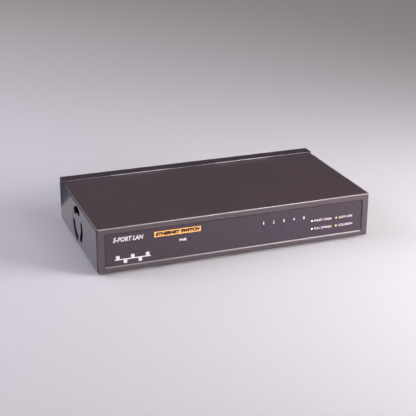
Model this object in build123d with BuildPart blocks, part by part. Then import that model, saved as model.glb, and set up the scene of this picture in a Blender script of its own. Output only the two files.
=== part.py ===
from build123d import *

import os
from math import cos, radians, sin

# Five-port desktop network switch in a folded steel case.
#
# Frame: X along the width, the front face towards -Y, +Z up. The origin is the
# centre of the footprint, on the surface that the rubber feet stand on.
# All sizes are in millimetres.

# ---------------------------------------------------------------- driving dimensions

case_width = 190.0
case_depth = 102.4
case_height = 30.6
sheet = 0.8  # steel of the base and of the cover
bend = 1.4  # outer bend radius
cover_gap = 0.3  # air between the cover and the flanges it lies on
cover_inset = 0.5  # from the outer face of each side wall to the cover's edge
foot_height = 1.6
screw_head_height = 1.6  # stands out behind the rear panel

y_front = -(case_depth + screw_head_height) / 2
y_back = y_front + case_depth
z_base = foot_height
z_top = z_base + case_height
mid = sheet / 2

# flanges of the base that the cover lies on
flange_top = z_top - sheet - cover_gap
y_flange = y_front + sheet + cover_gap
side_flange = 8.0
front_flange = 4.2
floor_flange = 3.0
floor_flange_inset = 12.0  # from each side of the case to the ends of the floor's flange
fold_overlap = 8.0  # flat part of a folded strip that merges with the sheet it belongs to
front_fold_run = 4.0
seam = 0.1  # overlap that fuses two flat sheets edge to edge

# rear lip, which holds the rear edge of the cover down
lip_length = 10.7
lip_gap = 0.25
lip_round = 0.3  # rounding of the lip's upper front edge
lip_ear = 0.35  # thin ears join the lip's ends to the side walls
y_lip = y_back - lip_length
z_lip = z_top + lip_gap + mid
panel_inset = 0.2  # between the rear panel and the side walls
tongue_width = 42.0
tongue_depth = 5.0
tongue_rise = 0.3
tongue_ramp = 1.4  # length of the slope up to the raised part
tongue_nose = 1.1  # the front edge, turned down to the cover
tongue_round = 0.9
tongue_play = 0.1
tongue_slit = 0.15
tongue_x = 39.4

# pressed dish and ring of three arc slots in each side wall
vent_z = z_base + 14.3
vent_y = (y_front + y_back) / 2 + 0.8
dish_radius = 13.7
dish_depth = 0.25
dish_slope = 0.7  # run of the sloping rim
slot_radius = 10.3
slot_width = 5.0
slot_sweep = 90.0 - 26.0  # centre line, without the round ends
slot_middles = (102.0, 222.0, 342.0)  # from the front, upwards

# front recess and the film that lines it
recess_width = 181.3
recess_height = 23.2
recess_z = z_base + 15.0
recess_depth = 0.7
recess_corner = 1.6
film = 0.25
film_play = 0.15

# indicator lights
led_pitch = 7.3
led_count = 5
led_center_x = 32.4
led_upper_z = z_base + 15.8
led_lower_z = z_base + 10.1
power_led_x = -33.4
led_radius = 1.45
window_radius = 1.1

# cover screws and the tabs they pull on
screw_x = 80.0
screw_z = 27.0
screw_radius = 1.45
screw_length = 6.0
thread_play = 0.05
tab_width = 10.0
tab_drop = 8.4
y_tab = y_back - sheet - 0.5 - mid

# main board on its standoffs
board_thickness = 1.6
standoff_height = 5.0
z_floor = z_base + sheet
board_z = z_floor + standoff_height + board_thickness
board_width = 152.0
board_front = y_front + 5.5
board_back = y_back - 2.4
board_hole_x = 70.0
board_hole_y = (-40.0, 42.0)
board_hole_radius = 1.6

# row of modular jacks
jack_count = 5
jack_pitch = 13.97
jack_x = 24.0
jack_width = jack_count * jack_pitch + 1.6
jack_depth = 21.0
jack_height = 13.0
port_width = 11.8
port_depth = 14.0
port_floor = board_z + 3.6
port_roof = board_z + 10.4
latch_steps = ((6.4, 1.3), (4.2, 2.2))  # width and depth of each step under the plug space
spring_room = 0.5  # over the springs' fixed ends
nose_width = 1.2
groove = 1.0  # depth of the groove that holds the leads
contact_count = 8
contact_pitch = 1.02
wire = 0.35
spring_y = y_back - 4.2
spring_z = board_z + 11.2
spring_length = 9.0
spring_slope = 20.0
lead_top = board_z + jack_height - 0.5
lead_rows = (y_back - jack_depth - 0.6, y_back - jack_depth - 3.1)
lead_foot = board_z - board_thickness - 1.2
lead_hole = 0.42
shield = 0.25
shield_play = 0.1
shield_back = lead_rows[1] - 0.8

# power inlet
inlet_x = -58.0
inlet_width = 9.0
inlet_depth = 13.6
inlet_height = 11.0
inlet_z = board_z + 5.6
inlet_bore = 3.15
inlet_bore_depth = 9.2
inlet_pin = 1.05
pin_root = 1.4
pin_seat = 2.4
leaf_width = 2.4
leaf = 0.3

# wall-hanging keyholes in the floor
keyhole_spacing = 105.0
keyhole_radius = 4.0
keyhole_neck = 3.6
keyhole_run = 7.0

# components on the board; each place is (x, y)
chip_stand = 0.1
lead_sheet = 0.15
lead_bend = 0.1
crystal_spot = (50.0, -10.0)
crystal_base = (11.4, 5.0, 0.5)
crystal_can = (10.4, 4.0, 3.0)
capacitor_cans = (  # x, y, radius, height
    (-40.0, 34.0, 4.0, 11.5),
    (-30.0, 34.0, 4.0, 11.5),
    (-35.0, 6.0, 3.15, 11.0),
)
can_groove_z = 1.4
can_groove = 0.35
inductor_spot = (-48.0, 20.0)
inductor_drum = ((4.6, 0.0, 1.0), (3.7, 1.0, 4.2), (4.6, 4.2, 5.2))  # radius, low, high
regulator_spot = (-64.0, 8.0)
regulator_size = (10.0, 8.6, 4.5)
regulator_plate = 1.27  # thickness of the tab under the moulding
regulator_tab_reach = 1.5
regulator_lead = (0.8, 4.7, 0.5)
regulator_lead_pitch = 5.08
diode_spot = (-62.0, 26.0)
diode_size = (4.6, 2.6, 2.2)
fuse_spot = (-62.0, 31.0)
fuse_size = (7.4, 4.6, 1.4)
cap_lip = 0.03  # a plated end cap stands this far out of its chip

port_x = [jack_x + (i - (jack_count - 1) / 2) * jack_pitch for i in range(jack_count)]
led_x = [led_center_x + (i - (led_count - 1) / 2) * led_pitch for i in range(led_count)]
contact_x = [(i - (contact_count - 1) / 2) * contact_pitch for i in range(contact_count)]
sides = (-1, 1)

# feet and label under the floor
foot_radius = 4.5
foot_spacing = (158.0, 72.0)
foot_round = 0.5
label_size = (62.0, 24.0, 0.15)
label_y = -30.0

os.makedirs("parts", exist_ok=True)


# ---------------------------------------------------------------- helpers


def save(part, name):
    """Label a finished sub-part and write it."""
    part.label = name
    export_step(part, f"parts/{name}.step")


def front_plane(y):
    """Upright plane at y that faces the front, with local axes X and Z."""
    return Plane.XZ.offset(-y)


def folded(plane, points, thickness=sheet, radius=bend - mid):
    """Edge-on profile of a sheet that is folded along a line of points."""
    with BuildSketch(plane) as profile:
        with BuildLine():
            FilletPolyline(*points, radius=radius)
        trace(line_width=thickness)
    return profile.sketch


def block(x, y, z, mode=Mode.ADD):
    """Add or cut a box that spans three (low, high) ranges in the open part."""
    middle = ((x[0] + x[1]) / 2, (y[0] + y[1]) / 2, (z[0] + z[1]) / 2)
    with Locations(middle):
        Box(x[1] - x[0], y[1] - y[0], z[1] - z[0], mode=mode)


def around(middle, size):
    """Range of a given size around a middle value."""
    return (middle - size / 2, middle + size / 2)


# ---------------------------------------------------------------- folded steel base

wall = case_width / 2
wall_mid = wall - mid
base_front = y_flange + bend
base_back = y_back - bend
panel_half = wall - sheet - panel_inset
panel_mid = y_back - mid

trough = [
    (-wall_mid + side_flange, flange_top - mid),
    (-wall_mid, flange_top - mid),
    (-wall_mid, z_base + mid),
    (wall_mid, z_base + mid),
    (wall_mid, flange_top - mid),
    (wall_mid - side_flange, flange_top - mid),
]
rear_fold = [
    (y_back - fold_overlap, z_base + mid),
    (panel_mid, z_base + mid),
    (panel_mid, z_lip),
    (y_lip, z_lip),
]
floor_fold = [
    (y_flange + fold_overlap, z_base + mid),
    (y_flange + mid, z_base + mid),
    (y_flange + mid, z_base + floor_flange),
]
tongue_path = [
    (y_lip, z_lip + tongue_rise),
    (y_lip + tongue_depth - tongue_ramp, z_lip + tongue_rise),
    (y_lip + tongue_depth, z_lip),
    (y_lip + tongue_depth + 1.0, z_lip),
]
upright = (z_base + bend, flange_top - bend)

with BuildPart() as base:
    # floor, side walls and their top flanges
    extrude(
        folded(front_plane((base_front + base_back) / 2), trough),
        amount=(base_back - base_front) / 2,
        both=True,
    )
    # front flanges of the side walls, and the walls' rear edges
    for side in sides:
        corner = [
            (side * (wall - front_flange), y_flange + mid),
            (side * wall_mid, y_flange + mid),
            (side * wall_mid, y_flange + front_fold_run),
        ]
        extrude(
            folded(Plane.XY.offset(sum(upright) / 2), corner),
            amount=(upright[1] - upright[0]) / 2,
            both=True,
        )
        edge = sorted((side * wall, side * (wall - sheet)))
        block(edge, (base_back - seam, y_back), upright)
    # low front flange of the floor
    extrude(folded(Plane.YZ, floor_fold), amount=wall - floor_flange_inset, both=True)
    # rear panel, and the lip folded forward over the cover
    extrude(folded(Plane.YZ, rear_fold), amount=panel_half, both=True)
    block((-wall, wall), (y_lip, base_back), around(z_lip, sheet))
    for side in sides:
        ear = sorted((side * wall, side * (wall - lip_ear)))
        block(ear, (y_lip, base_back), (upright[1] - seam, z_lip))
        slit = tongue_width + 2 * tongue_slit
        block(
            around(side * tongue_x, slit),
            (y_lip - 1.0, y_lip + tongue_depth),
            around(z_lip, 2 * sheet),
            mode=Mode.SUBTRACT,
        )
        with BuildSketch(Plane.YZ.offset(side * tongue_x)):
            with BuildLine():
                Polyline(*tongue_path)
            trace(line_width=sheet)
        extrude(amount=tongue_width / 2, both=True)
        block(
            around(side * tongue_x, tongue_width),
            (y_lip, y_lip + tongue_nose),
            (z_top + tongue_play, z_lip + mid + tongue_rise),
        )
    for rise, rounding in ((0.0, lip_round), (tongue_rise, tongue_round)):
        crest = (
            base.edges()
            .filter_by(Axis.X)
            .filter_by_position(Axis.Y, *around(y_lip, seam))
            .filter_by_position(Axis.Z, *around(z_lip + mid + rise, seam))
        )
        fillet(crest, radius=rounding)
    # pressed dishes with three arc slots, one in each side wall
    for side in sides:
        outer = Plane.YZ.offset(side * wall)
        inner = Plane.YZ.offset(side * (wall - dish_depth))
        with BuildSketch(Plane.YZ.offset(side * (wall - sheet))):
            with Locations((vent_y, vent_z)):
                Circle(dish_radius)
        extrude(amount=-side * dish_depth)
        with BuildSketch(outer):
            with Locations((vent_y, vent_z)):
                Circle(dish_radius)
        with BuildSketch(inner):
            with Locations((vent_y, vent_z)):
                Circle(dish_radius - dish_slope)
        loft(mode=Mode.SUBTRACT)
        with BuildSketch(outer):
            for middle in slot_middles:
                start = 180.0 - middle - slot_sweep / 2
                with BuildLine() as arc:
                    CenterArc((vent_y, vent_z), slot_radius, start, slot_sweep)
                SlotArc(arc.wires()[0], slot_width)
        extrude(amount=-side * 3 * sheet, mode=Mode.SUBTRACT)
    # openings of the rear panel
    with BuildSketch(front_plane(y_back)):
        jack_cut = (board_z - 0.3, board_z + jack_height + 1.0)
        with Locations((jack_x, sum(jack_cut) / 2)):
            Rectangle(jack_width + 1.4, jack_cut[1] - jack_cut[0])
        with Locations((inlet_x, board_z + inlet_height / 2)):
            Rectangle(inlet_width + 0.8, inlet_height + 0.8)
        with Locations((-screw_x, screw_z), (screw_x, screw_z)):
            Circle(screw_radius + 0.2)
    extrude(amount=2 * sheet, mode=Mode.SUBTRACT)
    # keyholes in the floor
    with BuildSketch(Plane.XY.offset(z_base)):
        with GridLocations(keyhole_spacing, 0, 2, 1):
            Circle(keyhole_radius)
            with Locations((0, -keyhole_run)):
                Circle(keyhole_neck / 2)
            with Locations((0, -keyhole_run / 2)):
                Rectangle(keyhole_neck, keyhole_run)
    extrude(amount=sheet, mode=Mode.SUBTRACT)
save(base.part, "base_chassis")

# ---------------------------------------------------------------- cover

cover_back = y_tab + mid - bend
cover_bottom = z_base + 0.4
cover_path = [
    (cover_back, z_top - mid),
    (y_front + mid, z_top - mid),
    (y_front + mid, cover_bottom),
]
tab_path = [
    (cover_back - 4.0, z_top - mid),
    (y_tab, z_top - mid),
    (y_tab, z_top - tab_drop),
]
led_places = [(x, z) for z in (led_upper_z, led_lower_z) for x in led_x]
led_places.append((power_led_x, led_upper_z))

with BuildPart() as cover:
    extrude(folded(Plane.YZ, cover_path), amount=wall - cover_inset, both=True)
    # rear tabs with threaded collars
    for side in sides:
        extrude(
            folded(Plane.YZ.offset(side * screw_x), tab_path),
            amount=tab_width / 2,
            both=True,
        )
    with BuildSketch(front_plane(y_tab - mid)):
        with Locations((-screw_x, screw_z), (screw_x, screw_z)):
            Circle(screw_radius + 0.8)
    extrude(amount=1.0)
    with BuildSketch(front_plane(y_tab + mid)):
        with Locations((-screw_x, screw_z), (screw_x, screw_z)):
            Circle(screw_radius + thread_play)
    extrude(amount=3.0, mode=Mode.SUBTRACT)
    # front recess, pressed in by its own depth
    with BuildSketch(front_plane(y_front + sheet)):
        with Locations((0, recess_z)):
            RectangleRounded(recess_width, recess_height, recess_corner)
    extrude(amount=-recess_depth)
    with BuildSketch(front_plane(y_front)):
        with Locations((0, recess_z)):
            RectangleRounded(recess_width, recess_height, recess_corner)
    with BuildSketch(front_plane(y_front + recess_depth)):
        with Locations((0, recess_z)):
            RectangleRounded(
                recess_width - 2 * recess_depth,
                recess_height - 2 * recess_depth,
                recess_corner - recess_depth,
            )
    loft(mode=Mode.SUBTRACT)
    # light holes
    with BuildSketch(front_plane(y_front)):
        with Locations(*led_places):
            Circle(window_radius)
    extrude(amount=-3 * sheet, mode=Mode.SUBTRACT)
save(cover.part, "top_cover")

with BuildPart() as overlay:
    with BuildSketch(front_plane(y_front + recess_depth)):
        with Locations((0, recess_z)):
            RectangleRounded(
                recess_width - 2 * recess_depth - 2 * film_play,
                recess_height - 2 * recess_depth - 2 * film_play,
                recess_corner - recess_depth,
            )
    extrude(amount=film)
save(overlay.part, "front_overlay")

# ---------------------------------------------------------------- feet, screws, standoffs

with BuildPart() as feet:
    with BuildSketch(Plane.XY.offset(z_base)):
        with GridLocations(*foot_spacing, 2, 2):
            Circle(foot_radius)
    extrude(amount=-foot_height)
    fillet(feet.edges().group_by(Axis.Z)[0], radius=foot_round)
save(feet.part, "rubber_feet")

with BuildPart() as label:
    block(
        around(0, label_size[0]),
        around(label_y, label_size[1]),
        (z_base - label_size[2], z_base),
    )
save(label.part, "bottom_label")


def pan_screw(shank, length, head, height):
    """Cross-recessed pan-head screw that points down, with its head standing on Z = 0."""
    with BuildPart() as screw:
        Cylinder(shank, length, align=(Align.CENTER, Align.CENTER, Align.MAX))
        Cylinder(head, height, align=(Align.CENTER, Align.CENTER, Align.MIN))
        fillet(screw.edges().group_by(Axis.Z)[-1], radius=0.6 * height)
        with BuildSketch(Plane.XY.offset(height)):
            Rectangle(1.3 * head, 0.25 * head)
            Rectangle(0.25 * head, 1.3 * head)
        extrude(amount=-0.6 * height, mode=Mode.SUBTRACT)
    return screw.part


cover_screw = pan_screw(screw_radius, screw_length, 2.8, screw_head_height)
with BuildPart() as cover_screws:
    for side in sides:
        with Locations(Location((side * screw_x, y_back, screw_z), (-90, 0, 0))):
            add(cover_screw)
save(cover_screws.part, "cover_screws")

board_holes = [(side * board_hole_x, y) for side in sides for y in board_hole_y]
standoff_bore = 1.25

with BuildPart() as standoffs:
    with BuildSketch(Plane.XY.offset(z_floor)):
        with Locations(*board_holes):
            RegularPolygon(2.6, 6, major_radius=False)
            Circle(standoff_bore, mode=Mode.SUBTRACT)
    extrude(amount=standoff_height)
save(standoffs.part, "board_standoffs")

board_screw = pan_screw(standoff_bore - 0.05, 5.0, 2.4, 1.5)
with BuildPart() as board_screws:
    with Locations(*[(x, y, board_z) for x, y in board_holes]):
        add(board_screw)
save(board_screws.part, "board_screws")

# ---------------------------------------------------------------- main board

with BuildPart() as board:
    with BuildSketch(Plane.XY.offset(board_z - board_thickness)):
        with Locations((0, (board_front + board_back) / 2)):
            RectangleRounded(board_width, board_back - board_front, 1.5)
        with Locations(*board_holes):
            Circle(board_hole_radius, mode=Mode.SUBTRACT)
        for x in port_x:
            for i, step in enumerate(contact_x):
                with Locations((x + step, lead_rows[i % 2])):
                    Circle(lead_hole, mode=Mode.SUBTRACT)
    extrude(amount=board_thickness)
save(board.part, "main_board")

# ---------------------------------------------------------------- modular jacks

jack_back = y_back - jack_depth
roof_z = board_z + jack_height
comb_width = contact_count * contact_pitch + 0.4
comb_front = spring_y + nose_width / 2
plug_y = (y_back - port_depth, y_back)

with BuildPart() as jacks:
    block(around(jack_x, jack_width), (jack_back, y_back), (board_z, roof_z))
    for x in port_x:
        # plug space, with the two steps of the latch below it
        block(around(x, port_width), plug_y, (port_floor, port_roof), Mode.SUBTRACT)
        for width, drop in latch_steps:
            block(around(x, width), plug_y, (port_floor - drop, port_floor), Mode.SUBTRACT)
        # room for the springs over the plug, and the groove of their leads
        comb = around(x, comb_width)
        block(comb, (plug_y[0], comb_front), (port_roof, spring_z + spring_room), Mode.SUBTRACT)
        block(comb, (jack_back, comb_front), (roof_z - groove, roof_z), Mode.SUBTRACT)
        block(comb, around(spring_y, nose_width), (spring_z, roof_z), Mode.SUBTRACT)
save(jacks.part, "jack_housing")

with BuildPart() as jack_shield:
    reach = shield_play + shield
    half_shield = jack_width / 2 + reach
    block(
        around(jack_x, 2 * half_shield),
        (shield_back, y_back),
        (board_z, roof_z + reach),
    )
    block(
        around(jack_x, 2 * (half_shield - shield)),
        (shield_back + shield, y_back),
        (board_z, roof_z + shield_play),
        Mode.SUBTRACT,
    )
save(jack_shield.part, "jack_shield")


def contact_lead(row_y):
    """One fixed wire: from the nose over the jack, down behind it and through the board."""
    path = [
        (spring_y, spring_z + 0.45),
        (spring_y, lead_top),
        (row_y, lead_top),
        (row_y, lead_foot),
    ]
    with BuildPart() as lead:
        extrude(folded(Plane.YZ, path, wire, 0.4), amount=wire / 2, both=True)
    return lead.part


lead_shapes = [contact_lead(row) for row in lead_rows]
with BuildPart() as jack_leads:
    for i, step in enumerate(contact_x):
        with Locations(*[(x + step, 0, 0) for x in port_x]):
            add(lead_shapes[i % 2])
save(jack_leads.part, "jack_leads")

tip_y = spring_y - spring_length * cos(radians(spring_slope))
tip_z = spring_z - spring_length * sin(radians(spring_slope))
for port, x in enumerate(port_x, start=1):
    with BuildPart() as springs:
        for step in contact_x:
            with BuildSketch(Plane.YZ.offset(x + step)):
                with BuildLine():
                    Polyline((spring_y, spring_z), (tip_y, tip_z))
                trace(line_width=wire)
            extrude(amount=wire / 2, both=True)
    save(springs.part, f"contact_springs_{port}")

# ---------------------------------------------------------------- power inlet

inlet_back = y_back - inlet_depth
bore_back = y_back - inlet_bore_depth
leaf_y = y_back - 11.0
leaf_z = board_z + 1.6
leaf_crest = (y_back - 3.6, inlet_z - 2.55)
leaf_tip = (y_back - 2.2, inlet_z - 3.1)

with BuildPart() as inlet:
    block(around(inlet_x, inlet_width), (inlet_back, y_back), (board_z, board_z + inlet_height))
    chamfer(inlet.edges().filter_by(Axis.Y).group_by(Axis.Z)[-1], length=1.2)
    with BuildSketch(front_plane(y_back)):
        with Locations((inlet_x, inlet_z)):
            Circle(inlet_bore)
    extrude(amount=inlet_bore_depth, mode=Mode.SUBTRACT)
    # slot of the leaf contact, and the seat of the centre pin
    block(
        around(inlet_x, leaf_width + 0.6),
        (inlet_back + 1.6, y_back - 1.2),
        (board_z + 0.8, inlet_z - 1.6),
        Mode.SUBTRACT,
    )
    with BuildSketch(front_plane(bore_back)):
        with Locations((inlet_x, inlet_z)):
            Circle(pin_root)
    extrude(amount=pin_seat, mode=Mode.SUBTRACT)
save(inlet.part, "power_inlet")

pin_tip = y_back - 1.2
with BuildPart() as center_pin:
    with BuildSketch(front_plane(pin_tip)):
        with Locations((inlet_x, inlet_z)):
            Circle(inlet_pin)
    extrude(amount=pin_tip - bore_back)
    with BuildSketch(front_plane(bore_back)):
        with Locations((inlet_x, inlet_z)):
            Circle(pin_root)
    extrude(amount=pin_seat)
    chamfer(center_pin.edges().group_by(Axis.Y)[-1], length=0.3)
save(center_pin.part, "inlet_center_pin")

with BuildPart() as inlet_leaf:
    with BuildSketch(Plane.YZ.offset(inlet_x)):
        with BuildLine():
            Polyline((leaf_y, leaf_z), leaf_crest, leaf_tip)
        trace(line_width=leaf)
    extrude(amount=leaf_width / 2, both=True)
save(inlet_leaf.part, "inlet_leaf_contact")

# ---------------------------------------------------------------- indicator lights

holder_front = board_front - 1.1
holder_back = holder_front + 6.0
lens_tip = y_front + recess_depth + sheet + 0.4
lens_center = lens_tip + led_radius


def lenses(places):
    """Round-nosed lamps that face the front panel, one at each (x, z)."""
    with BuildPart() as lamp:
        with BuildSketch(front_plane(holder_front + 2.6)):
            with Locations(*places):
                Circle(led_radius)
        extrude(amount=holder_front + 2.6 - lens_center)
        with Locations(*[(x, lens_center, z) for x, z in places]):
            Sphere(led_radius)
    return lamp.part


with BuildPart() as holders:
    for x in led_x + [power_led_x]:
        block(around(x, 5.4), (holder_front, holder_back), (board_z, led_upper_z + 2.9))
    with BuildSketch(front_plane(holder_front)):
        with Locations(*led_places):
            Circle(led_radius + 0.05)
    extrude(amount=-2.6, mode=Mode.SUBTRACT)
save(holders.part, "led_holders")
save(lenses([(x, led_upper_z) for x in led_x]), "upper_leds")
save(lenses([(x, led_lower_z) for x in led_x]), "lower_leds")
save(lenses([(power_led_x, led_upper_z)]), "power_led")

# ---------------------------------------------------------------- chips and their leads


def gull_lead(width, reach, rise):
    """Gull-wing lead that leaves a chip at height rise and lands reach away along +Y."""
    path = [
        (0, rise),
        (0.35 * reach, rise),
        (0.55 * reach, lead_sheet / 2),
        (reach, lead_sheet / 2),
    ]
    with BuildPart() as lead:
        extrude(folded(Plane.YZ, path, lead_sheet, lead_bend), amount=width / 2, both=True)
    return lead.part


def chip_leads(lead, middles, body, counts, pitch):
    """Leads on the sides of chips; counts gives how many on a long side and on a short side."""
    places = []
    for x, y in middles:
        for turn, half, count in ((0, body[1] / 2, counts[0]), (90, body[0] / 2, counts[1])):
            for i in range(count):
                step = (i - (count - 1) / 2) * pitch
                for angle in (turn, turn + 180):
                    spot = Location((x, y, board_z), (0, 0, angle)) * Location((step, half, 0))
                    places.append(spot)
    with BuildPart() as leads:
        with Locations(*places):
            add(lead)
    return leads.part


def packages(middles, size, bevel=0.2):
    """Moulded chip bodies with bevelled top edges."""
    low = board_z + chip_stand
    with BuildPart() as body:
        with Locations(*[(x, y, low) for x, y in middles]):
            Box(*size, align=(Align.CENTER, Align.CENTER, Align.MIN))
        chamfer(body.edges().group_by(Axis.Z)[-1], length=bevel)
    return body.part


switch_size = (20.0, 14.0, 2.7)
switch_spot = [(jack_x, -6.0)]
save(packages(switch_spot, switch_size, 0.3), "switch_chip")
switch_lead = gull_lead(0.3, 1.5, 1.2)
save(chip_leads(switch_lead, switch_spot, switch_size, (29, 20), 0.65), "switch_chip_leads")

magnet_size = (11.8, 7.0, 5.4)
magnet_spots = [(x, 14.5) for x in port_x]
save(packages(magnet_spots, magnet_size, 0.4), "isolation_transformers")
magnet_lead = gull_lead(0.5, 1.6, 1.8)
save(chip_leads(magnet_lead, magnet_spots, magnet_size, (8, 0), 1.27), "transformer_leads")

memory_size = (4.9, 3.9, 1.5)
memory_spot = [(-6.0, -12.0)]
save(packages(memory_spot, memory_size), "memory_chip")
save(chip_leads(gull_lead(0.4, 1.1, 0.7), memory_spot, memory_size, (4, 0), 1.27), "memory_chip_leads")

# ---------------------------------------------------------------- other board components

with BuildPart() as crystal:
    low = board_z
    for length, width, height in (crystal_base, crystal_can):
        with BuildSketch(Plane.XY.offset(low)):
            with Locations(crystal_spot):
                SlotOverall(length, width)
        extrude(amount=height)
        low += height
    fillet(crystal.edges().group_by(Axis.Z)[-1], radius=0.4)
save(crystal.part, "crystal")

with BuildPart() as capacitors:
    for x, y, radius, height in capacitor_cans:
        with Locations((x, y, board_z)):
            Cylinder(radius, height, align=(Align.CENTER, Align.CENTER, Align.MIN))
        with Locations((x, y, board_z + can_groove_z)):
            Torus(radius + 0.1, can_groove, mode=Mode.SUBTRACT)
    fillet(capacitors.edges().filter_by(GeomType.CIRCLE).group_by(Axis.Z)[-1], radius=0.4)
save(capacitors.part, "electrolytic_capacitors")

with BuildPart() as inductor:
    with Locations((*inductor_spot, board_z)):
        for radius, low, high in inductor_drum:
            with Locations((0, 0, low)):
                Cylinder(radius, high - low, align=(Align.CENTER, Align.CENTER, Align.MIN))
save(inductor.part, "power_inductor")

regulator_x, regulator_y = regulator_spot
regulator_width, regulator_length, regulator_height = regulator_size
plate_top = board_z + chip_stand + regulator_plate
with BuildPart() as regulator:
    block(
        around(regulator_x, regulator_width),
        around(regulator_y, regulator_length),
        (plate_top, board_z + regulator_height),
    )
    chamfer(regulator.edges().group_by(Axis.Z)[-1], length=0.3)
save(regulator.part, "voltage_regulator")

regulator_front = regulator_y - regulator_length / 2
tab_back = regulator_y + regulator_length / 2 + regulator_tab_reach
with BuildPart() as regulator_tab:
    block(around(regulator_x, regulator_width), (regulator_front, tab_back), (board_z, plate_top))
    for side in sides:
        block(
            around(regulator_x + side * regulator_lead_pitch / 2, regulator_lead[0]),
            (regulator_front - regulator_lead[1], regulator_front),
            (board_z, board_z + regulator_lead[2]),
        )
save(regulator_tab.part, "regulator_tab")


def end_capped(x, y, size, cap):
    """Chip component that lies along X with a plated cap on each end."""
    block(around(x, size[0]), around(y, size[1]), (board_z, board_z + size[2]))
    for side in sides:
        block(
            around(x + side * (size[0] - cap) / 2, cap),
            around(y, size[1] + 2 * cap_lip),
            (board_z, board_z + size[2] + cap_lip),
        )


with BuildPart() as diode:
    end_capped(*diode_spot, diode_size, 0.7)
save(diode.part, "rectifier_diode")

with BuildPart() as fuse:
    end_capped(*fuse_spot, fuse_size, 1.0)
save(fuse.part, "resettable_fuse")


def chip_rows(size, cap, middle, pitch, counts):
    """Grid of equal chip components."""
    with BuildPart() as row:
        for i in range(counts[0]):
            for j in range(counts[1]):
                x = middle[0] + (i - (counts[0] - 1) / 2) * pitch[0]
                y = middle[1] + (j - (counts[1] - 1) / 2) * pitch[1]
                end_capped(x, y, size, cap)
    return row.part


save(chip_rows((3.2, 1.6, 0.6), 0.4, (jack_x, 5.2), (jack_pitch, 3.0), (5, 1)), "resistor_networks")
save(chip_rows((1.6, 0.8, 0.5), 0.3, (led_center_x, -30.0), (led_pitch, 2.4), (5, 4)), "chip_resistors")
save(chip_rows((2.0, 1.25, 0.9), 0.4, (-2.0, 0.0), (4.0, 3.4), (2, 3)), "chip_capacitors")
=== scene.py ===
from math import cos, pi, radians, sin

import bmesh
import bpy
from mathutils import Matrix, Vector


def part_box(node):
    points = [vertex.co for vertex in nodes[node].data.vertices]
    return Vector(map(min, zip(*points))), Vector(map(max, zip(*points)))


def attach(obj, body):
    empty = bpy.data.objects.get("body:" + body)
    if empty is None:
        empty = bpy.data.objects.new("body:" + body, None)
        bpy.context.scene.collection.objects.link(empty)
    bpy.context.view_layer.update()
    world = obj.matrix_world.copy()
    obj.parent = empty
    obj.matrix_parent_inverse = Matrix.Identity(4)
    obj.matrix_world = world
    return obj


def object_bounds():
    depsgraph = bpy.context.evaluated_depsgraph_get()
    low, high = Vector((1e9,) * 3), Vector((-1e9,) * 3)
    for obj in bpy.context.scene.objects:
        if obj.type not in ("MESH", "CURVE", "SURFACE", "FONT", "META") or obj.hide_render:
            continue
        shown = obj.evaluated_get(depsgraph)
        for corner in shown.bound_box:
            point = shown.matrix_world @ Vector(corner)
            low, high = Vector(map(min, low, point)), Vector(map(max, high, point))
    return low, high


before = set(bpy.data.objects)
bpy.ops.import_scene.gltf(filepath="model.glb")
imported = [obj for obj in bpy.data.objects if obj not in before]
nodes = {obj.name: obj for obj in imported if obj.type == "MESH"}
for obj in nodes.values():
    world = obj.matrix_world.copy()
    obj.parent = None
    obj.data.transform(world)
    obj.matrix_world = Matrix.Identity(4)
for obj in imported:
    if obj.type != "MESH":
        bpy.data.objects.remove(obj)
cad_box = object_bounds()

# Looks of a five-port desktop network switch: finishes for the CAD nodes, the prints, the fine
# detail on the board, the stage, the lights and the camera. Lengths are in metres, unless a
# comment or docstring says mm.

MM = 0.001
PORT_NUMBERS = range(1, 6)


# ---------------------------------------------------------------- material tools


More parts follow.
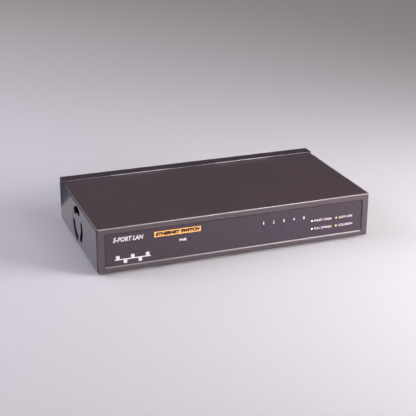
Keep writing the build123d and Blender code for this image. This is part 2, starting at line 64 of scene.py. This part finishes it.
class Shader:
    """A material's node tree, with short calls for the nodes that the finishes share."""

    def __init__(self, name, color, roughness, metallic=0.0):
        self.material = bpy.data.materials.new(name)
        self.material.use_nodes = True
        self.tree = self.material.node_tree
        self.surface = self.tree.nodes["Principled BSDF"]
        self.set(Base_Color=(*color, 1.0), Roughness=roughness, Metallic=metallic)
        self.place = self.tree.nodes.new("ShaderNodeTexCoord").outputs["Object"]

    def set(self, **values):
        """Set sockets of the surface by name, with _ for a space."""
        for name, value in values.items():
            self.surface.inputs[name.replace("_", " ")].default_value = value

    def link(self, value, name):
        """Link a value to the surface's socket of that name."""
        self.tree.links.new(value, self.surface.inputs[name])

    def node(self, kind, **inputs):
        """Add a node; each keyword sets or links the input socket of that name."""
        node = self.tree.nodes.new(kind)
        for name, value in inputs.items():
            socket = node.inputs[name.replace("_", " ")]
            if isinstance(value, bpy.types.NodeSocket):
                self.tree.links.new(value, socket)
            else:
                socket.default_value = value
        return node

    def noise(self, size, detail=3.0, roughness=0.5, stretch=None):
        """Noise whose features are about size metres wide, scaled by axis where stretch is given."""
        vector = self.place
        if stretch:
            vector = self.node("ShaderNodeMapping", Vector=vector, Scale=stretch).outputs["Vector"]
        node = self.node(
            "ShaderNodeTexNoise",
            Vector=vector,
            Scale=1.0 / size,
            Detail=detail,
            Roughness=roughness,
        )
        return node.outputs["Fac"]

    def cells(self, size):
        """Distance from the centres of grains about size metres wide."""
        node = self.node("ShaderNodeTexVoronoi", Vector=self.place, Scale=1.0 / size)
        return node.outputs["Distance"]

    def span(self, value, low, high, source=(0.3, 0.7)):
        """Map a 0 to 1 value onto a range, over the part of it given by source."""
        node = self.node(
            "ShaderNodeMapRange",
            Value=value,
            From_Min=source[0],
            From_Max=source[1],
            To_Min=low,
            To_Max=high,
        )
        return node.outputs["Result"]

    def blend(self, factor, first, second):
        """Mix two colours by a factor that comes from another node."""
        node = self.tree.nodes.new("ShaderNodeMix")
        node.data_type = "RGBA"
        sockets = {socket.identifier: socket for socket in (*node.inputs, *node.outputs)}
        self.tree.links.new(factor, sockets["Factor_Float"])
        sockets["A_Color"].default_value = (*first, 1.0)
        sockets["B_Color"].default_value = (*second, 1.0)
        return sockets["Result_Color"]

    def wear(self, color, size, low, high):
        """Let a colour drift slowly between low and high times itself."""
        drift = self.span(self.noise(size, detail=4.0), 0.0, 1.0)
        self.link(self.blend(drift, tint(color, low), tint(color, high)), "Base Color")

    def rough(self, value, low, high):
        """Let the roughness follow a 0 to 1 value."""
        self.link(self.span(value, low, high), "Roughness")

    def bump(self, height, strength, depth):
        """Bump from a 0 to 1 height, depth metres deep."""
        node = self.node("ShaderNodeBump", Height=height, Strength=strength, Distance=depth)
        self.link(node.outputs["Normal"], "Normal")


def tint(color, factor):
    """A colour made lighter or darker by a factor."""
    return tuple(min(1.0, c * factor) for c in color)


def powder_coat(name, color, roughness, gloss, shine):
    """Baked enamel on steel: fine orange peel, and pin-point grain under a satin or glossy skin."""
    coat = Shader(name, color, roughness)
    coat.set(Coat_Weight=gloss, Coat_Roughness=0.10, Specular_IOR_Level=shine)
    coat.wear(color, size=30 * MM, low=0.93, high=1.07)
    coat.rough(coat.noise(0.35 * MM, detail=2.0), roughness - 0.05, roughness + 0.07)
    coat.bump(coat.noise(0.8 * MM, roughness=0.6), strength=0.25, depth=0.004 * MM)
    return coat.material


def grained_film(name, color, roughness):
    """Screen-printed polycarbonate with a velvet grain and slightly cloudy ink."""
    film = Shader(name, color, roughness)
    clouds = film.span(film.noise(1.1 * MM, roughness=0.6), 0.0, 1.0, source=(0.38, 0.62))
    film.link(film.blend(clouds, tint(color, 0.80), tint(color, 1.22)), "Base Color")
    film.rough(film.noise(0.6 * MM), roughness - 0.05, roughness + 0.08)
    film.bump(film.cells(0.22 * MM), strength=0.35, depth=0.015 * MM)
    return film.material


def moulded(name, color, roughness, grain=0.25 * MM):
    """Spark-eroded texture of a moulded plastic."""
    plastic = Shader(name, color, roughness)
    plastic.wear(color, size=6 * MM, low=0.85, high=1.12)
    plastic.rough(plastic.noise(1.5 * MM), roughness - 0.06, roughness + 0.08)
    plastic.bump(plastic.cells(grain), strength=0.3, depth=0.02 * MM)
    return plastic.material


def plated(name, color, roughness, along=(1, 1, 1)):
    """Plated or brushed metal, with faint lines where along stretches the noise."""
    metal = Shader(name, color, roughness, metallic=1.0)
    metal.wear(color, size=4 * MM, low=0.85, high=1.0)
    lines = metal.noise(0.3 * MM, roughness=0.6, stretch=along)
    metal.rough(lines, roughness - 0.08, roughness + 0.12)
    metal.bump(lines, strength=0.12, depth=0.01 * MM)
    return metal.material


def ink(name, color, roughness=0.45):
    """Screen print: a thin matt layer with a faint mesh texture."""
    layer = Shader(name, color, roughness)
    layer.wear(color, size=1.2 * MM, low=0.92, high=1.04)
    layer.bump(layer.noise(0.15 * MM, detail=1.0), strength=0.15, depth=0.005 * MM)
    return layer.material


def lens(name, color):
    """Diffused lamp body, faintly clear."""
    lamp = Shader(name, color, 0.25)
    lamp.set(Subsurface_Weight=0.3, Subsurface_Radius=(MM, MM, MM))
    lamp.set(Coat_Weight=0.5, Coat_Roughness=0.1)
    lamp.rough(lamp.noise(0.8 * MM), 0.2, 0.32)
    lamp.wear(color, size=1.5 * MM, low=0.9, high=1.05)
    return lamp.material


# ---------------------------------------------------------------- finishes

CHARCOAL = (0.047, 0.034, 0.037)
BASE = (0.032, 0.023, 0.030)
FILM = (0.037, 0.027, 0.034)
BLACK = (0.012, 0.012, 0.013)
TIN = (0.72, 0.71, 0.68)
GOLD = (0.85, 0.60, 0.22)
PRINT = (0.56, 0.53, 0.54)
ORANGE = (0.82, 0.40, 0.11)
AMBER = (0.80, 0.50, 0.16)
CREAM = (0.80, 0.76, 0.58)
NAVY = (0.030, 0.028, 0.056)

finishes = {
    "base_chassis": powder_coat("base_coat", BASE, 0.22, gloss=0.9, shine=0.5),
    "top_cover": powder_coat("cover_coat", CHARCOAL, 0.34, gloss=0.0, shine=1.0),
    "front_overlay": grained_film("overlay_film", FILM, 0.38),
    "rubber_feet": moulded("foot_rubber", (0.02, 0.02, 0.02), 0.8, grain=0.4 * MM),
    "bottom_label": moulded("label_film", (0.72, 0.72, 0.70), 0.4),
    "cover_screws": plated("black_zinc", (0.09, 0.09, 0.09), 0.35),
    "board_standoffs": plated("standoff_brass", (0.75, 0.55, 0.25), 0.35),
    "board_screws": plated("nickel", (0.66, 0.64, 0.60), 0.25),
    "main_board": moulded("solder_mask", (0.010, 0.085, 0.035), 0.3),
    "jack_housing": moulded("jack_plastic", BLACK, 0.45),
    "jack_shield": plated("shield_tin", TIN, 0.32, along=(0.2, 1, 1)),
    "jack_leads": plated("lead_gold", GOLD, 0.28),
    "power_inlet": moulded("inlet_plastic", BLACK, 0.4),
    "inlet_center_pin": plated("pin_nickel", TIN, 0.2),
    "inlet_leaf_contact": plated("leaf_nickel", TIN, 0.3),
    "led_holders": moulded("holder_plastic", BLACK, 0.5),
    "switch_chip": moulded("epoxy", (0.018, 0.018, 0.019), 0.55),
    "switch_chip_leads": plated("lead_tin", TIN, 0.3),
    "crystal": plated("crystal_can", (0.70, 0.69, 0.66), 0.22),
    "electrolytic_capacitors": moulded("sleeve", (0.010, 0.018, 0.070), 0.3),
    "power_inductor": moulded("ferrite", (0.03, 0.03, 0.032), 0.7),
    "resettable_fuse": moulded("fuse_coat", (0.02, 0.09, 0.04), 0.4),
    "resistor_networks": moulded("resistor_glaze", (0.02, 0.02, 0.02), 0.35),
    "chip_capacitors": moulded("capacitor_ceramic", (0.35, 0.23, 0.12), 0.5),
    "upper_leds": lens("lamp_green", (0.25, 0.55, 0.25)),
}
same_finish = {
    "switch_chip": ("isolation_transformers", "memory_chip", "voltage_regulator", "rectifier_diode"),
    "switch_chip_leads": ("transformer_leads", "memory_chip_leads", "regulator_tab"),
    "resistor_networks": ("chip_resistors",),
    "upper_leds": ("lower_leds", "power_led"),
    "jack_leads": [f"contact_springs_{port}" for port in PORT_NUMBERS],
}
for like, others in same_finish.items():
    for node in others:
        finishes[node] = finishes[like]
for node, finish in finishes.items():
    slots = nodes[node].material_slots
    assert slots, node
    for slot in slots:
        slot.material = finish

# paint rounds the sharp edges of the sheet; the facets of a bend meet below the limit and stay
EDGE_RADIUS = 0.25 * MM
EDGE_LIMIT = radians(50)
for node in ("base_chassis", "top_cover"):
    edges = nodes[node].modifiers.new("painted_edges", "BEVEL")
    edges.width = EDGE_RADIUS
    edges.segments = 2
    edges.limit_method = "ANGLE"
    edges.angle_limit = EDGE_LIMIT


# ---------------------------------------------------------------- surfaces that carry detail

case_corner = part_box("base_chassis")[0]  # left edge and floor of the case
film_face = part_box("front_overlay")[0].y
front_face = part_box("top_cover")[0].y
rear_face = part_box("jack_housing")[1].y  # the jacks end flush with the rear panel
board_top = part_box("main_board")[1].z
label_low, label_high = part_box("bottom_label")
PRINT_THICK = 0.03 * MM


def on_film(across, up, lift=0.0):
    """A place on the film from its distance to the case's left edge and floor, in mm."""
    return Vector((case_corner.x + across * MM, film_face - lift, case_corner.z + up * MM))


def on_rear(across, up, lift=0.0):
    """A place on the rear panel, in mm from the frame's middle towards -X and up from the case's floor."""
    return Vector((-across * MM, rear_face + lift, case_corner.z + up * MM))


def on_board(x, y, lift=0.0):
    """A place on the board's upper side, in mm of the frame."""
    return Vector((x * MM, y * MM, board_top + lift))


def on_label(across, up, lift=0.0):
    """A place on the label as seen from below, in mm from its middle: up grows towards +Y."""
    middle = (label_low + label_high) / 2
    return Vector((middle.x - across * MM, middle.y + up * MM, label_low.z - lift))


def spot(node):
    """Middle of a node across the board, in mm."""
    low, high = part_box(node)
    return ((low.x + high.x) / 2 / MM, (low.y + high.y) / 2 / MM)


def footprint(node, grow=0.0):
    """Ranges of a node across the board, in mm, grown by a margin."""
    low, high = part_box(node)
    return ((low.x / MM - grow, high.x / MM + grow), (low.y / MM - grow, high.y / MM + grow))


# ---------------------------------------------------------------- mesh tools


def link(made):
    """Add an object to the scene."""
    bpy.context.scene.collection.objects.link(made)


def piece(name, shape, material, body):
    """Make a piece that rides on a body from a bmesh, with its face normals recalculated."""
    bmesh.ops.recalc_face_normals(shape, faces=shape.faces)
    mesh = bpy.data.meshes.new(name)
    shape.to_mesh(mesh)
    shape.free()
    mesh.materials.append(material)
    made = bpy.data.objects.new(name, mesh)
    link(made)
    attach(made, body)


def lettering(text, shear, weight):
    """Solid letters in a box from 0 to 1 on every axis."""
    curve = bpy.data.curves.new("letters", "FONT")
    curve.body = text
    curve.shear = shear
    curve.offset = weight
    curve.resolution_u = 3
    curve.extrude = 0.5
    holder = bpy.data.objects.new("letters", curve)
    link(holder)
    bpy.context.view_layer.update()
    evaluated = holder.evaluated_get(bpy.context.evaluated_depsgraph_get())
    shape = bmesh.new()
    shape.from_mesh(bpy.data.meshes.new_from_object(evaluated))
    bpy.data.objects.remove(holder)
    low = Vector(map(min, *(v.co for v in shape.verts)))
    high = Vector(map(max, *(v.co for v in shape.verts)))
    size = high - low
    for v in shape.verts:
        v.co = Vector((v.co[i] - low[i]) / size[i] for i in range(3))
    return shape


def print_text(
    name,
    text,
    across,
    up,
    material,
    shear=0.0,
    weight=0.0,
    lift=0.0,
    place=on_film,
    ride="cover",
    slot="overlay_film",
):
    """Letters that fill a range across and up a surface, given in mm."""
    shape = lettering(text, shear, weight)
    for v in shape.verts:
        x, y, z = v.co
        v.co = place(
            across[0] + x * (across[1] - across[0]),
            up[0] + y * (up[1] - up[0]),
            lift + z * PRINT_THICK,
        )
    shape.normal_update()
    piece(name, shape, material, ride)


def print_shapes(
    name, outlines, material, lift=0.0, place=on_film, ride="cover", slot="overlay_film"
):
    """Thin solids on a surface: one for each outline, or each (outer, inner) pair of outlines, in mm."""
    shape = bmesh.new()
    for outline in outlines:
        loops = outline if isinstance(outline, tuple) else (outline,)
        rings = []
        for loop in loops:
            low = [shape.verts.new(place(a, b, lift)) for a, b in loop]
            high = [shape.verts.new(place(a, b, lift + PRINT_THICK)) for a, b in loop]
            rings.append((low, high))
            for i, corner in enumerate(low):
                j = (i + 1) % len(low)
                shape.faces.new((corner, low[j], high[j], high[i]))
        for level in (0, 1):
            outer = rings[0][level]
            if len(rings) == 1:
                shape.faces.new(outer)
                continue
            inner = rings[1][level]
            for i in range(len(outer)):
                j = (i + 1) % len(outer)
                shape.faces.new((outer[i], outer[j], inner[j], inner[i]))
    piece(name, shape, material, ride)


def rectangle(across, up):
    """Corners of a rectangle from its ranges."""
    return [(across[0], up[0]), (across[1], up[0]), (across[1], up[1]), (across[0], up[1])]


def square(middle, half):
    """Corners of a square from its middle."""
    return rectangle((middle[0] - half, middle[0] + half), (middle[1] - half, middle[1] + half))


def frame_lines(across, up, line):
    """Outline of a rectangle, drawn with a line that lies inside it."""
    inner = rectangle((across[0] + line, across[1] - line), (up[0] + line, up[1] - line))
    return (rectangle(across, up), inner)


def disc(middle, radius, corners=28):
    """Corners of a circle."""
    turns = (2 * pi * i / corners for i in range(corners))
    return [(middle[0] + radius * cos(a), middle[1] + radius * sin(a)) for a in turns]


def ring(middle, outer, inner):
    """Two circles, for a ring."""
    return (disc(middle, outer), disc(middle, inner))


def track(points, width):
    """Outline of a line of the given width through points."""
    left, right = [], []
    for i, point in enumerate(points):
        here = Vector(point)
        before = (here - Vector(points[i - 1])).normalized() if i else None
        after = (Vector(points[i + 1]) - here).normalized() if i + 1 < len(points) else None
        run = ((before or after) + (after or before)).normalized()
        side = Vector((-run.y, run.x))
        reach = width / 2 / max(0.5, run.dot(before or after))
        left.append(tuple(here + side * reach))
        right.append(tuple(here - side * reach))
    return left + right[::-1]


def turned(name, profile, middle, material, sweep=None, steps=40):
    """Solid on the board, turned from a closed profile of (radius, height) around an upright axis, in mm.

    It goes all the way round, or between the two angles of sweep.
    """
    start, stop = sweep or (0.0, 2 * pi)
    count = steps + 1 if sweep else steps
    shape = bmesh.new()
    rows = []
    for i in range(count):
        angle = start + (stop - start) * i / steps
        row = []
        for radius, height in profile:
            x = middle[0] + radius * cos(angle)
            y = middle[1] + radius * sin(angle)
            row.append(shape.verts.new(on_board(x, y, height * MM)))
        rows.append(row)
    for i in range(steps):
        here, there = rows[i], rows[(i + 1) % count]
        for k in range(len(profile)):
            n = (k + 1) % len(profile)
            shape.faces.new((here[k], here[n], there[n], there[k]))
    if sweep:
        shape.faces.new(rows[0])
        shape.faces.new(rows[-1])
    bmesh.ops.remove_doubles(shape, verts=shape.verts, dist=0.001 * MM)
    piece(name, shape, material, "chassis")


# ---------------------------------------------------------------- printed front, in mm on the film

print_white = ink("print_white", PRINT)
print_dark = ink("print_dark", (0.020, 0.012, 0.010))
print_orange = ink("print_orange", ORANGE)
print_amber = ink("print_amber", AMBER)
print_cream = ink("print_cream", CREAM)
window_ink = ink("window_ink", NAVY, roughness=0.2)

SLANT = 0.25
TYPE = ((10.4, 30.4), (20.2, 23.4))
BADGE = ((37.5, 69.0), (20.1, 23.7))
BADGE_TEXT = ((38.2, 68.4), (20.7, 23.2))
POWER = ((54.25, 59.25), (14.9, 16.6))
POWER_WINDOW = 61.6
UPPER_WINDOWS = 15.8
LOWER_WINDOWS = 10.1
WINDOW_RADIUS = 0.95
LED_PITCH = 7.3
FIRST_LED = 112.8
NUMERAL_UP = (18.1, 20.1)
NUMERAL_HALF = 0.6  # half of a numeral's width; a 1 is half as wide
LEGEND_DOT = 0.65
LEGEND_HALF = 0.8  # half of a legend's height
LEFT_LEGEND = (148.1, (149.8, 162.9))  # the dot's middle and the word's range
RIGHT_LEGEND = (166.0, (167.9, 178.3))
LEGENDS = (
    ("fast", "FAST LINK", LEFT_LEGEND, UPPER_WINDOWS, print_cream),
    ("duplex", "FULL DUPLEX", LEFT_LEGEND, LOWER_WINDOWS, print_cream),
    ("slow", "SLOW LINK", RIGHT_LEGEND, UPPER_WINDOWS, print_amber),
    ("collision", "COLLISION", RIGHT_LEGEND, LOWER_WINDOWS, print_amber),
)


def numeral_range(number, middle, half):
    """Range across of a numeral around its middle."""
    reach = half / 2 if number == 1 else half
    return (middle - reach, middle + reach)


print_text("type_print", "5-PORT LAN", *TYPE, print_white, shear=SLANT, weight=0.03)
print_shapes("badge_ground", [rectangle(*BADGE)], print_orange)
print_text(
    "badge_print", "ETHERNET SWITCH", *BADGE_TEXT, print_dark, shear=SLANT, weight=0.09, lift=PRINT_THICK
)
print_text("power_print", "PWR", *POWER, print_white, weight=0.05)

led_columns = [FIRST_LED + i * LED_PITCH for i in range(5)]
for number, across in enumerate(led_columns, start=1):
    numeral = numeral_range(number, across, NUMERAL_HALF)
    print_text(f"numeral_{number}", str(number), numeral, NUMERAL_UP, print_white, weight=0.03)
windows = [(across, up) for up in (UPPER_WINDOWS, LOWER_WINDOWS) for across in led_columns]
windows.append((POWER_WINDOW, UPPER_WINDOWS))
print_shapes("light_windows", [disc(window, WINDOW_RADIUS) for window in windows], window_ink)
for name, words, (dot, across), up, color in LEGENDS:
    height = (up - LEGEND_HALF, up + LEGEND_HALF)
    print_shapes(f"legend_{name}_dot", [disc((dot, up), LEGEND_DOT)], color)
    print_text(f"legend_{name}_print", words, across, height, print_white, weight=0.015)

# generic mark of a network: a bus line with five stations, in turn above and below it
BUS_ACROSS = (11.2, 34.8)
BUS_UP = 8.1
BUS_HALF = 0.33
FIRST_STATION = 13.2
STATION_PITCH = 4.9
STATION_HALF = 1.15
STATION_DROP = 1.55
mark = [rectangle(BUS_ACROSS, (BUS_UP - BUS_HALF, BUS_UP + BUS_HALF))]
for i in range(5):
    drop = -STATION_DROP if i % 2 else STATION_DROP
    mark.append(square((FIRST_STATION + i * STATION_PITCH, BUS_UP + drop), STATION_HALF))
print_shapes("network_mark", mark, print_white)

# ---------------------------------------------------------------- printed rear and label, in mm

REAR_UP = (23.0, 25.4)
REAR_HALF = 0.8  # half of a numeral's width
REAR_WEIGHT = 0.02
INLET_PRINT_HALF = 3.6
LABEL_MARGIN = 1.2
LABEL_BORDER = 0.35
RULES_UP = (-5.0, 0.0, 5.0)
RULE_INSET = 3
RULE_HALF = 0.12

rear = {"place": on_rear, "ride": "chassis", "slot": "chassis_paint", "weight": REAR_WEIGHT}
port_columns = [spot(f"contact_springs_{port}")[0] for port in PORT_NUMBERS]
for number, x in enumerate(port_columns, start=1):
    numeral = numeral_range(number, -x, REAR_HALF)
    print_text(f"rear_numeral_{number}", str(number), numeral, REAR_UP, print_white, **rear)
inlet_across = -spot("power_inlet")[0]
inlet_range = (inlet_across - INLET_PRINT_HALF, inlet_across + INLET_PRINT_HALF)
print_text("inlet_print", "DC IN", inlet_range, REAR_UP, print_white, **rear)

half_label = (label_high - label_low) / 2 / MM
across = half_label.x - LABEL_MARGIN
up = half_label.y - LABEL_MARGIN
rule = (-across + RULE_INSET, across - RULE_INSET)
label_lines = [frame_lines((-across, across), (-up, up), LABEL_BORDER)]
label_lines += [rectangle(rule, (h - RULE_HALF, h + RULE_HALF)) for h in RULES_UP]
print_shapes("label_lines", label_lines, print_dark, place=on_label, ride="chassis", slot="label_paper")

# ---------------------------------------------------------------- board, in mm of the frame

silkscreen = ink("silkscreen", (0.80, 0.82, 0.78))
trace_mask = moulded("trace_mask", (0.020, 0.150, 0.060), 0.28)
pad_tin = plated("pad_tin", TIN, 0.25)
can_top = plated("can_aluminium", (0.80, 0.80, 0.80), 0.3)
stripe = ink("sleeve_stripe", (0.45, 0.50, 0.60))
copper_wire = plated("enamelled_copper", (0.72, 0.30, 0.12), 0.25, along=(1, 1, 0.2))
dimple = ink("moulding_dimple", (0.035, 0.035, 0.037), roughness=0.3)

board = {"place": on_board, "ride": "chassis", "slot": "board_laminate"}
CAPACITORS = (  # x, y, radius, height, as in the CAD
    (-40.0, 34.0, 4.0, 11.5),
    (-30.0, 34.0, 4.0, 11.5),
    (-35.0, 6.0, 3.15, 11.0),
)
inductor = spot("power_inductor")

# signal tracks
TRACE = 0.3
PIN_PITCH = 1.27
CHIP_SIDE = (6.3, 9.3)  # along Y, in front of the transformers
JACK_SIDE = (19.7, 25.6)  # between the transformers and the jacks
LAMP_SIDE = (-34.6, -41.4)  # towards the lamps
MEMORY_BUS = [-13.0 + 0.9 * k for k in range(5)]  # along Y
CHIP_GAP = 0.3  # from a track's end to the leads of the switch chip
PART_GAP = 0.4  # from a track's end to the memory chip or the crystal
CRYSTAL_PIN = 1.2  # from the crystal's middle
CRYSTAL_RUN = 3.0  # from the bend to the chip's leads
CRYSTAL_BEND = 2.0

tracks = []
for column in port_columns:
    for k in range(4):
        x = column + (k - 1.5) * PIN_PITCH
        for low, high in (CHIP_SIDE, JACK_SIDE):
            tracks.append(track([(x, low), (x, high)], TRACE))
for column in led_columns:
    for side in (-1, 1):
        x = column + case_corner.x / MM + side * PIN_PITCH
        tracks.append(track([(x, LAMP_SIDE[0]), (x, LAMP_SIDE[1])], TRACE))
chip_left, chip_right = footprint("switch_chip_leads")[0]
memory_right = footprint("memory_chip_leads", PART_GAP)[0][1]
for y in MEMORY_BUS:
    tracks.append(track([(memory_right, y), (chip_left - CHIP_GAP, y)], TRACE))
crystal_left = footprint("crystal", PART_GAP)[0][0]
for side in (-1, 1):
    y = spot("crystal")[1] + side * CRYSTAL_PIN
    bend = chip_right + CRYSTAL_RUN
    bent = [(crystal_left, y), (bend, y), (bend - CRYSTAL_BEND, y + CRYSTAL_BEND)]
    tracks.append(track(bent, TRACE))

# broad power tracks, from the diode past the regulator, the inductor and a capacitor to the chips
POWER_TRACE = 2.2
POWER_ROUTES = (
    ((-62.0, 24.4), (-62.0, 16.5), (-60.0, 14.4)),
    ((-57.0, 20.0), (-53.4, 20.0)),
    ((-43.0, 20.0), (-38.0, 15.0), (-35.5, 10.2)),
    ((-31.0, 4.0), (-18.0, 4.0), (-12.0, -2.0)),
    ((-8.0, 8.0), (2.0, 8.0), (8.0, 2.0), (11.5, 2.0)),
)
tracks += [track(route, POWER_TRACE) for route in POWER_ROUTES]
print_shapes("board_tracks", tracks, trace_mask, **board)

# silkscreen around the components
SILK = 0.18
SILK_ROUND = 0.2
SILK_MARGINS = {
    "switch_chip_leads": 0.8,
    "memory_chip_leads": 0.6,
    "crystal": 0.6,
    "voltage_regulator": 0.9,
    "rectifier_diode": 0.5,
    "resettable_fuse": 0.5,
    "power_inlet": 0.6,
}
TRANSFORMER_HALF = 6.6
TRANSFORMER_RANGE = (9.2, 19.8)
INDUCTOR_MARK = 5.4
CAPACITOR_MARGIN = 0.6

marks = [frame_lines(*footprint(node, margin), SILK) for node, margin in SILK_MARGINS.items()]
for x in port_columns:
    marks.append(frame_lines((x - TRANSFORMER_HALF, x + TRANSFORMER_HALF), TRANSFORMER_RANGE, SILK))
rounds = [(inductor, INDUCTOR_MARK)]
rounds += [((x, y), radius + CAPACITOR_MARGIN) for x, y, radius, _ in CAPACITORS]
marks += [ring(middle, radius, radius - SILK_ROUND) for middle, radius in rounds]
print_shapes("board_silkscreen", marks, silkscreen, **board)

# rings around the screws, and a few vias
SCREW_HOLES = [(x, y) for x in (-70.0, 70.0) for y in (-40.0, 42.0)]
SCREW_RING = (3.2, 1.7)
VIAS = [(x, y) for x in (-22.0, -16.0, 2.0, 44.0) for y in (-32.0, -26.0, -20.0, 10.0)]
VIA_RADIUS = 0.35
pads = [ring(hole, *SCREW_RING) for hole in SCREW_HOLES]
pads += [disc(via, VIA_RADIUS, 12) for via in VIAS]
print_shapes("board_pads", pads, pad_tin, **board)

# capacitor tops with a sunk centre, and the light stripe of each sleeve
TOP_INSET = 0.55
TOP_RIM = 0.05
TOP_CENTRE = 0.02
STRIPE_THICK = 0.03
STRIPE_LOW = 2.4
STRIPE_GAP = 0.6  # to the top of the can
STRIPE_SWEEP = (radians(-150), radians(-110))
for number, (x, y, radius, height) in enumerate(CAPACITORS, start=1):
    rim = radius - TOP_INSET
    top_profile = [
        (0.0, height),
        (rim, height),
        (rim, height + TOP_RIM),
        (0.8 * rim, height + TOP_RIM),
        (0.7 * rim, height + TOP_CENTRE),
        (0.0, height + TOP_CENTRE),
    ]
    stripe_profile = rectangle((radius, radius + STRIPE_THICK), (STRIPE_LOW, height - STRIPE_GAP))
    turned(f"capacitor_top_{number}", top_profile, (x, y), can_top)
    turned(
        f"capacitor_stripe_{number}",
        stripe_profile,
        (x, y),
        stripe,
        STRIPE_SWEEP,
        steps=8,
    )

# copper winding between the flanges of the inductor
TURNS = 4
WIRE = 0.36  # radius
WIRE_PITCH = 2.06 * WIRE
FLANGE = 1.0
WINDING_RADIUS = 4.1
for i in range(TURNS):
    wire = disc((WINDING_RADIUS, FLANGE + WIRE + i * WIRE_PITCH), WIRE, 10)
    turned(f"inductor_turn_{i + 1}", wire, inductor, copper_wire)

# pin-one dimples, each set in from its chip's corner
DIMPLE_SIZE = 0.4  # radius, as a part of the inset
for name, inset in (("switch", 1.6), ("memory", 0.9)):
    low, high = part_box(f"{name}_chip")
    corner = (low.x / MM + inset, low.y / MM + inset)
    print_shapes(
        f"{name}_dimple",
        [disc(corner, inset * DIMPLE_SIZE, 20)],
        dimple,
        lift=high.z - board_top,
        place=on_board,
        ride="chassis",
        slot="chip_epoxy",
    )


# ---------------------------------------------------------------- stage


def at_height(outline, z):
    """Corners of an outline, lifted to a height."""
    return [(x, y, z) for x, y in outline]


def stage_mesh(name, corners, faces, finish):
    """Make a mesh that belongs to the stage."""
    mesh = bpy.data.meshes.new(name)
    mesh.from_pydata(corners, [], faces)
    mesh.materials.append(finish.material)
    made = bpy.data.objects.new(name, mesh)
    link(made)
    return made


FLOOR = (0.47, 0.47, 0.46)
FLOOR_REACH = 6.0
FLOOR_DROP = 0.1 * MM  # keeps the floor clear of the faces of the feet
pale = Shader("pale_floor", FLOOR, 0.7)
pale.set(Specular_IOR_Level=0.0)
pale.wear(FLOOR, size=400 * MM, low=0.99, high=1.01)
floor_corners = at_height(square((0.0, 0.0), FLOOR_REACH), -FLOOR_DROP)
stage_mesh("floor", floor_corners, [(0, 1, 2, 3)], pale)

# a dark card beyond the left rear corner, which only reflections see
CARD = [(-0.097, 0.070), (-0.300, 0.408), (-0.300, 0.700), (-0.097, 0.700)]
CARD_HEIGHT = 0.5 * MM
teal = Shader("teal_card", (0.006, 0.028, 0.042), 0.8)
card = stage_mesh("card", at_height(CARD, CARD_HEIGHT), [(0, 1, 2, 3)], teal)
card.visible_camera = False
card.visible_diffuse = False
card.visible_shadow = False

# a grey wall near the floor's edge, which only the camera sees
WALL_GREY = (0.13, 0.125, 0.13, 1.0)
WALL_RADIUS = 0.98 * FLOOR_REACH
WALL_HEIGHT = 5.0
WALL_SIDES = 64
grey = Shader("grey_wall", (0.0, 0.0, 0.0), 1.0)
grey.set(Emission_Color=WALL_GREY, Emission_Strength=1.0, Specular_IOR_Level=0.0)
circle = disc((0.0, 0.0), WALL_RADIUS, WALL_SIDES)
sides = [(i, (i + 1) % WALL_SIDES) for i in range(WALL_SIDES)]
wall = stage_mesh(
    "wall",
    at_height(circle, 0.0) + at_height(circle, WALL_HEIGHT),
    [(i, j, WALL_SIDES + j, WALL_SIDES + i) for i, j in sides],
    grey,
)
wall.visible_diffuse = False
wall.visible_glossy = False
wall.visible_shadow = False

# ---------------------------------------------------------------- light

WARM_WHITE = (1.0, 0.96, 0.95)
centre = (cad_box[0] + cad_box[1]) / 2

world = bpy.data.worlds.new("studio")
bpy.context.scene.world = world
world.use_nodes = True
background = world.node_tree.nodes["Background"]
background.inputs["Color"].default_value = (1.0, 0.88, 0.90, 1.0)
background.inputs["Strength"].default_value = 0.065
bpy.context.scene.view_settings.view_transform = "Standard"


def softbox(name, place, size, power, color, target=centre):
    """Rectangular soft light at a place, turned to a target."""
    data = bpy.data.lights.new(name, "AREA")
    data.shape = "RECTANGLE"
    data.size, data.size_y = size
    data.energy = power
    data.color = color
    lamp = bpy.data.objects.new(name, data)
    lamp.location = place
    lamp.rotation_euler = (Vector(target) - Vector(place)).to_track_quat("-Z", "Y").to_euler()
    lamp.visible_camera = False
    link(lamp)
    return lamp


# low, from the front right; reflections do not see it
key = softbox("key", (0.52, -0.38, 0.17), (0.50, 0.22), 3.1, (0.96, 0.90, 1.0))
key.visible_glossy = False
key.data.spread = radians(80)
# high, from the front: one lamp lights, and the other only glints on bends and gloss
softbox("strip", (0.42, -0.60, 0.69), (0.52, 0.24), 2.5, (1.0, 0.93, 0.94))
glint = softbox("glint", (0.34, -0.62, 0.70), (0.60, 0.22), 10.5, (1.0, 0.95, 0.95))
glint.visible_diffuse = False
softbox("left_fill", (-0.65, 0.22, 0.50), (0.5, 0.5), 5.0, (0.78, 0.73, 1.0), (-0.12, 0.05, 0.0))
softbox("back_fill", (-0.50, 0.90, 0.70), (0.6, 0.6), 2.6, WARM_WHITE)

sky = bpy.data.lights.new("sky", "SUN")
sky.energy = 0.8
sky.angle = radians(60)
sky.color = WARM_WHITE
sky_lamp = bpy.data.objects.new("sky", sky)
sky_lamp.visible_glossy = False
link(sky_lamp)

# ---------------------------------------------------------------- camera

SIGHT = Vector((0.3224, 0.8741, -0.3633))
FROM_CORNER = Vector((-144.6, -591.7, 281.3)) * MM  # from the case's lower front left corner
FOCAL_LENGTH = 91.55  # mm, on a sensor 36 mm wide

camera_data = bpy.data.cameras.new("camera")
camera_data.sensor_width = 36.0
camera_data.lens = FOCAL_LENGTH
camera_data.clip_start = 0.01
camera = bpy.data.objects.new("camera", camera_data)
camera.location = Vector((case_corner.x, front_face, case_corner.z)) + FROM_CORNER
camera.rotation_euler = SIGHT.to_track_quat("-Z", "Y").to_euler()
link(camera)
bpy.context.scene.camera = camera
